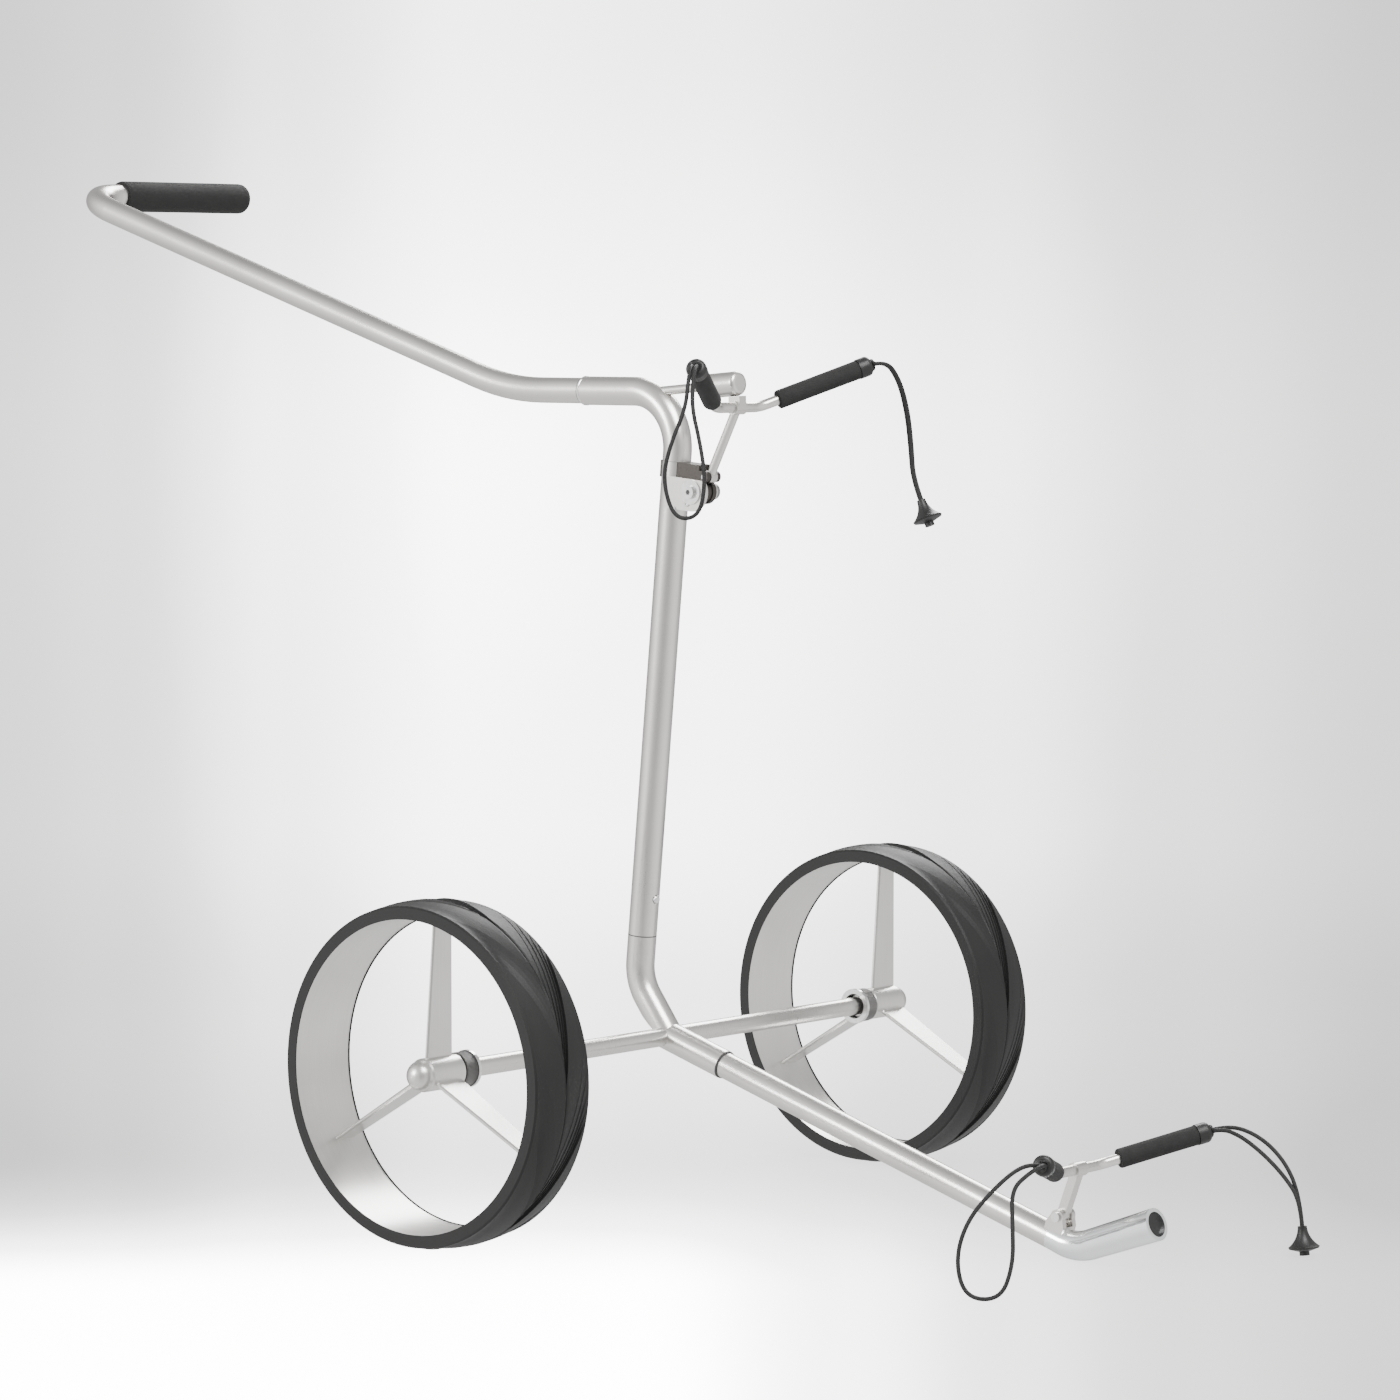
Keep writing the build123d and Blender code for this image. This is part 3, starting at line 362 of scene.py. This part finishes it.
upright_lean, leg_slope = radians(5.48), radians(17.17)
upright_dir = Vector((0, sin(upright_lean), cos(upright_lean)))
leg_dir = Vector((0, cos(leg_slope), -sin(leg_slope)))
seam = axle + Vector((0, -0.03065, 0.086))
top_seam = axle + Vector((0, -0.0955, 0.557))
back, right = Vector((0, -1, 0)), Vector((1, 0, 0))
stub_front = 0.0653
turn("handle_collar", [(0.05, 11.3), (0.05, 11.9), (1.1, 11.9), (1.1, 11.3)],
     top_seam, back, collar, "upper_frame")
turn("handle_bead", [(-2.4, 12.52), (-2.0, 12.9), (-0.6, 12.9), (0.0, 12.45)],
     top_seam, back, bright, "upper_frame")
turn("upright_collar", [(-0.5, 12.4), (-0.45, 12.58), (0.45, 12.58), (0.5, 12.4)],
     seam, upright_dir, collar, "chassis")
turn("leg_collar", [(0.05, 11.3), (0.05, 12.3), (1.4, 12.2), (1.5, 11.3)],
     axle + leg_dir * stub_front, leg_dir, collar, "chassis")

# ---- Snap button and hinge ----
# The upright's bright spring button, and the folding hinge: a blasted lug between the fork's
# cheeks, painted near-black for the shade between them, held by a bright socket bolt and a
# small grey knob, with two screws below it.
# The lug's near-black colour is painted shade, standing for the shadow between the fork's cheeks.
lug_shade_steel = Finish("lug_steel_painted_shade", Metallic=1.0)
blast = lug_shade_steel.grain(700.0, 3)
lug_shade_steel.colour(blast, (0.045, 0.041, 0.038), (0.10, 0.092, 0.085))
lug_shade_steel.rough(0.42 + blast * 0.2)
lug_shade_steel.relief(blast, 0.00006)
dress(bright, "snap_button", "snap_spring", "hinge_bolt", "strut_pin", "axle_rod", "lower_pin")
dress(lug_shade_steel, "hinge_lug")
knob_alloy = Finish("grey_knurled_alloy", Metallic=0.9)
knob_wear = knob_alloy.grain(500.0, 3)
knob_alloy.colour(knob_wear, (0.20, 0.20, 0.20), (0.30, 0.30, 0.295))
knob_alloy.rough(0.36 + knob_wear * 0.15)
dress(knob_alloy, "hinge_knob")

cheek_face = 0.0125
hinge = axle + Vector((0, 0.03531, 0.47196))
for number, (forward, above) in enumerate(((0.016, 0.457), (0.031, 0.462))):
    spot = axle + Vector((cheek_face, forward, above))
    turn(f"fork_screw_{number + 1}",
         [(-0.5, 0), (-0.5, 2.6), (0.9, 2.6), (1.3, 2.2), (1.35, 1.2), (0.5, 1.0), (0.5, 0)],
         spot, right, bright, "chassis", 24)
# A thin near-black disc on the bolt's head, in the collar's black: painted shade for the hollow
# of its socket.
turn("painted_socket_shade", [(3.9, 0), (3.9, 1.9), (3.95, 2.05), (3.97, 2.05)],
     hinge + right * cheek_face, right, collar, "chassis", 24)

# ---- Handle grip ----
# A sleeve of fine black foam, pulled over the cross piece of the handle tube, with its free
# end rounded over.
foam = Finish("grip_foam", Specular_IOR_Level=0.3)
pores = foam.node("ShaderNodeTexVoronoi", {"feature": "F1"},
                  {"Vector": foam.place(), "Scale": 1500.0})
patches = foam.grain(90.0, 3)
foam.colour(patches, (0.006, 0.006, 0.006), (0.013, 0.0125, 0.012))
foam.rough(0.66 + pores * 0.2)
foam.relief(pores, 0.00025)

grip_end = axle + Vector((-0.220, -0.7383, 0.7345))
grip = turn("foam_grip", [
    (0, 0), (0, 7.5), (0.5, 10.6), (1.8, 12.9), (4.0, 14.1), (7.0, 14.45), (40, 14.5),
    (85, 14.42), (130, 14.5), (160.5, 14.4), (162.3, 14.0), (163, 13.0), (163, 11.3),
], grip_end, right, foam, "handle", 64)
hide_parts("handle_grip")

# ---- Bracket pads ----
# Foam tube pushed over each arm, from a little past the elbow to the end cap, a shade
# greyer and coarser than the grip.
pad_foam = Finish("pad_foam", Specular_IOR_Level=0.3)
cells = pad_foam.node("ShaderNodeTexVoronoi", {"feature": "F1"},
                      {"Vector": pad_foam.place(), "Scale": 1100.0})
mottle = pad_foam.grain(160.0, 4)
pad_foam.colour(mottle, (0.009, 0.009, 0.009), (0.022, 0.0215, 0.021))
pad_foam.rough(0.8 + cells * 0.15)
pad_foam.relief(cells * 0.7 + mottle * 0.5, 0.0003)

pad_start, cap_length = 18, 12
for bracket, hub, tip in (("upper", upper_hub, upper_tip), ("lower", lower_hub, lower_tip)):
    for word, side in (("right", 1), ("left", -1)):
        elbow, face, outward = arm_line(side, hub, tip)
        length = (face - elbow).length * 1000 - cap_length - pad_start
        start = elbow + outward * pad_start / 1000
        pad = turn(f"{bracket}_foam_{word}", [
            (0, 4.6), (0, 7.4), (0.5, 8.0), (1.5, 8.2), (length * 0.3, 8.1),
            (length * 0.7, 8.15), (length - 1.2, 8.2), (length - 0.3, 8.0), (length, 7.6),
            (length, 4.6),
        ], start, outward, pad_foam, f"{bracket}_bracket", 40)
        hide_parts(f"{bracket}_pad_{word}")

# ---- Front foot ----
# A flared, bent foot, cast in steel and polished bright, that slides on the ground.
polished = Finish("polished_casting", Metallic=1.0)
waves = polished.grain(30.0, 2)
polished.colour(waves, (0.72, 0.735, 0.75), (0.80, 0.81, 0.82))
polished.rough(0.13 + waves * 0.08)
polished.relief(waves, 0.0004)
dress(polished, "front_foot")

# ---- Wheels ----
# Each wheel is a wide alloy hoop on three flat blades and a turned hub, with a dark knurled
# release ring, and a broad foam-filled tyre moulded with sweeping, wing-like facets.
turned_alloy = Finish("turned_alloy", Metallic=1.0)
lines = turned_alloy.grain(1.0, 3, turned_alloy.stretched((2400.0, 22.0, 22.0)))
smear = turned_alloy.grain(20.0, 2)
turned_alloy.colour(lines * 0.6 + smear * 0.4, (0.50, 0.49, 0.47), (0.76, 0.75, 0.73))
turned_alloy.rough(0.24 + lines * 0.12 + smear * 0.05)
turned_alloy.relief(lines, 0.00002)

knurled = Finish("dark_knurled_alloy", Metallic=0.9)
sideways = knurled.node("ShaderNodeSeparateXYZ", {}, {0: knurled.place()}, output=0)
separate = sideways.socket.node
forward = Value(knurled, separate.outputs[1]) - axle.y
above = Value(knurled, separate.outputs[2]) - axle.z
angle = above.math("ARCTAN2", above, forward)
knurls_round, knurls_along = 44, 2600
ridge = angle.math("SINE", angle * knurls_round + sideways * knurls_along)
cross = angle.math("SINE", angle * knurls_round - sideways * knurls_along)
# Painted shade and light: the knurl's valleys are coloured darker and its crests lighter,
# following its relief.
knurled.colour(0.5 + ridge * cross * 0.5, (0.07, 0.07, 0.07), (0.26, 0.255, 0.25))
knurled.rough(0.36 + ridge * 0.05)
knurled.relief(ridge * cross, 0.0003)

rubber = Finish("tyre_rubber", Specular_IOR_Level=0.3)
speckle = rubber.grain(900.0, 3)
scuff = rubber.grain(26.0, 4)
rubber.colour(scuff, (0.004, 0.004, 0.004), (0.010, 0.010, 0.0095))
rubber.rough(0.40 + speckle * 0.14 + scuff * 0.10)
rubber.relief(speckle, 0.00012)

wheel_radius, tyre_edge, tyre_bore, tyre_half = 0.145, 0.141, 0.133, 0.0325
wing_depth, groove_depth = 0.0024, 0.0016
wings, sweep, sweep_curve = 6, radians(50), 0.75
bead_inner, bead_wide = 0.1301, 0.972
flat_part, shoulder_part, groove_part = 0.955, 0.22, 0.045
shoulder_turn, tread_lift, tread_smooth_below = 0.0015, 0.00002, radians(24)
fine, crowding, fade_curve, even_step = 16, 1.33, 0.7, 0.03
# Heights of one wing round the tyre, from its tall leading crease to the next
wing_steps = [(0.0, 1.0), (0.010, 0.15), (0.08, 0.50), (0.088, 0.12), (0.17, 0.55),
              (0.178, 0.22), (0.29, 0.62), (0.298, 0.35), (0.44, 0.72), (0.448, 0.55),
              (0.70, 0.80), (0.985, 0.98)]


def wing_height(turn_part):
    """Height of the tread's facets at a part of one wing's turn, from 0 to 1."""
    steps = wing_steps + [(1.0, 1.0)]
    for (begin, low), (end, high) in zip(steps, steps[1:]):
        if turn_part <= end:
            return low + (high - low) * (turn_part - begin) / (end - begin)
    return 1.0


def mould_tyre(name, centre_x, body, node):
    """A tyre as skewed rings, so that each crease of the tread is a line of the mesh."""
    parts = sorted({step for step, _ in wing_steps}
                   | {even_step + even_step * number for number in range(31)})
    across = []
    for number in range(-fine, fine + 1):
        share = abs(number) / fine
        across.append((1 if number > 0 else -1) * share ** crowding)
    section = [(-bead_wide, tyre_bore, None), (-bead_wide, bead_inner, None),
               (-1.0, bead_inner, None), (-1.0, tyre_edge - shoulder_turn, None)]
    section += [(flat_part * place, None, place) for place in across]
    section += [(1.0, tyre_edge - shoulder_turn, None), (1.0, bead_inner, None),
                (bead_wide, bead_inner, None), (bead_wide, tyre_bore, None)]
    shape = bmesh.new()
    rings = []
    for wing in range(wings):
        for part in parts:
            ring = []
            for wide, fixed_radius, place in section:
                radius = fixed_radius
                if place is not None:
                    crown = tyre_edge + (wheel_radius - tyre_edge) * (1 - place * place)
                    fade = min(1.0, (1 - abs(place)) / shoulder_part) ** fade_curve
                    cut = wing_depth * (1 - wing_height(part)) * fade
                    groove = groove_depth * max(0.0, 1 - abs(place) / groove_part)
                    radius = crown - tread_lift - max(cut, groove)
                turn_angle = 2 * pi * (wing + part) / wings + sweep * abs(wide) ** sweep_curve
                ring.append(shape.verts.new((
                    centre_x + tyre_half * wide,
                    axle.y + radius * cos(turn_angle),
                    axle.z + radius * sin(turn_angle),
                )))
            rings.append(ring)
    for first, second in zip(rings, rings[1:] + rings[:1]):
        for number in range(len(section)):
            after = (number + 1) % len(section)
            shape.faces.new((first[number], first[after], second[after], second[number]))
    bmesh.ops.recalc_face_normals(shape, faces=shape.faces)
    mesh = bpy.data.meshes.new(name)
    shape.to_mesh(mesh)
    shape.free()
    tyre = add_piece(name, mesh, rubber, body)
    mesh.set_sharp_from_angle(angle=tread_smooth_below)
    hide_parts(node)


wheel_centre, ring_mouth = 0.295, 0.256
for word, side in (("right", 1), ("left", -1)):
    mould_tyre(f"tread_{word}", side * wheel_centre, f"wheel_{word}", f"tyre_{word}")
    dress(turned_alloy, f"rim_{word}", f"spokes_{word}", f"hub_{word}")
    dress(bright, f"hub_bearings_{word}")
    dress(knurled, f"release_ring_{word}")
    mouth = axle + right * side * ring_mouth
    turn(f"ring_lip_{word}", [
        (-0.12, 11.3), (-0.12, 15.4), (0.1, 15.68), (2.9, 15.68), (3.05, 15.4), (2.9, 15.0),
        (0.2, 15.0), (0.2, 11.3), (-0.12, 11.3),
    ], mouth, right * side, bright, f"ring_{word}")

# ---- Studio ----
# A pale seamless backdrop, seen only by the camera, with its light painted in: brightest behind
# the upright and on the floor at the left. The trolley itself is lit by three broad softboxes in
# a darker room, so that its tubes shade.
class Surround(Finish):
    """The world's nodes, fed in the same way as a surface's."""

    def __init__(self, name):
        world = bpy.data.worlds.new(name)
        bpy.context.scene.world = world
        world.use_nodes = True
        self.tree = world.node_tree
        self.shader = self.tree.nodes["Background"]

    def ramp(self, value, stops):
        """A smooth scale of greys along a value."""
        scale = self.node("ShaderNodeValToRGB", {"stops": stops}, {0: value})
        scale.socket.node.color_ramp.interpolation = "EASE"
        return scale

    def towards(self, direction):
        """How far the gaze turns to a direction, from 0 at right angles to 1."""
        along = self.node("ShaderNodeVectorMath", {"operation": "DOT_PRODUCT"},
                          {0: self.node("ShaderNodeTexCoord", output="Generated"),
                           1: Vector(direction).normalized()}, output="Value")
        return along.math("MAXIMUM", along, 0.0)


room = Surround("pale_surround")
window = room.node("ShaderNodeSeparateXYZ", {},
                   {0: room.node("ShaderNodeTexCoord", output="Window")}, output="X")
rise = Value(room, window.socket.node.outputs["Y"])
# The backdrop's brightness is painted light: a glow across it that peaks behind the upright, and
# painted shade (dim) that darkens it most just above the floor.
wall = room.ramp(window, [(0.0, 0.84), (0.08, 0.862), (0.20, 0.925), (0.33, 0.962),
                          (0.5, 0.952), (0.7, 0.918), (0.85, 0.872), (1.0, 0.83)])
dim = room.ramp(rise, [(0.14, 0.078), (0.28, 0.045), (0.42, 0.012), (0.68, 0.0), (1.0, 0.04)])
ground = room.ramp(window, [(0.0, 1.0), (0.45, 1.0), (0.6, 0.95), (0.72, 0.895),
                            (0.85, 0.85), (1.0, 0.81)])
near = room.ramp(rise, [(0.075, 1.0), (0.18, 0.0)])
tone = (wall - dim) * (1 - near) + ground * near
seen = room.ramp(tone, [(0.0, 0.0), (0.773, 0.069), (0.84, 0.116), (0.87, 0.15), (0.906, 0.231),
                        (0.949, 0.394), (0.97, 0.594), (1.0, 1.0)])
seen.socket.node.color_ramp.interpolation = "LINEAR"
room.feed(room.shader.inputs["Color"], seen)
brightest = 16.0
room.shader.inputs["Strength"].default_value = brightest

lit = room.tree.nodes.new("ShaderNodeBackground")
below = room.towards((0, 0, -1))
left = room.towards((0.85, -0.55, 0.25)) ** 3
ahead = room.towards((-0.35, 1.0, 0.1)) ** 3
room.feed(lit.inputs["Color"], 0.55 + below * 0.9 + left * 1.5 + ahead * 1.1)
lit.inputs["Strength"].default_value = 1.0
choose = room.tree.nodes.new("ShaderNodeMixShader")
room.feed(choose.inputs[0], room.node("ShaderNodeLightPath", output="Is Camera Ray"))
room.tree.links.new(lit.outputs[0], choose.inputs[1])
room.tree.links.new(room.shader.outputs[0], choose.inputs[2])
room.tree.links.new(choose.outputs[0], room.tree.nodes["World Output"].inputs["Surface"])

floor_mesh = bpy.data.meshes.new("floor")
disc = bmesh.new()
floor_radius = 2.0
bmesh.ops.create_circle(disc, cap_ends=True, radius=floor_radius, segments=96)
disc.to_mesh(floor_mesh)
disc.free()
floor = bpy.data.objects.new("floor", floor_mesh)
bpy.context.collection.objects.link(floor)
paper = Finish("pale_paper", Roughness=0.9, Base_Color=(0.8, 0.8, 0.8))
spread = paper.node("ShaderNodeVectorMath", {"operation": "LENGTH"}, {0: paper.place()}, output=1)
edge = paper.node("ShaderNodeMapRange", {"interpolation_type": "SMOOTHSTEP"},
                  {"Value": spread, "From Min": 0.45, "From Max": 1.6, "To Min": 0.10,
                   "To Max": 0.0})
paper.feed(paper.shader.inputs["Alpha"], edge)
floor_mesh.materials.append(paper.material)

middle_height = Vector((0, 0.05, 0.4))
for name, place, size, power in (
    ("key", (1.0, 2.6, 3.6), 2.2, 260),
    ("side", (3.8, -1.6, 1.7), 1.5, 120),
    ("rim", (-3.0, -1.2, 2.8), 1.8, 150),
):
    light = bpy.data.lights.new(name, "AREA")
    light.size = size
    light.energy = power
    lamp = bpy.data.objects.new(name, light)
    bpy.context.collection.objects.link(lamp)
    lamp.location = place
    aim = middle_height - Vector(place)
    lamp.rotation_euler = aim.to_track_quat("-Z", "Y").to_euler()
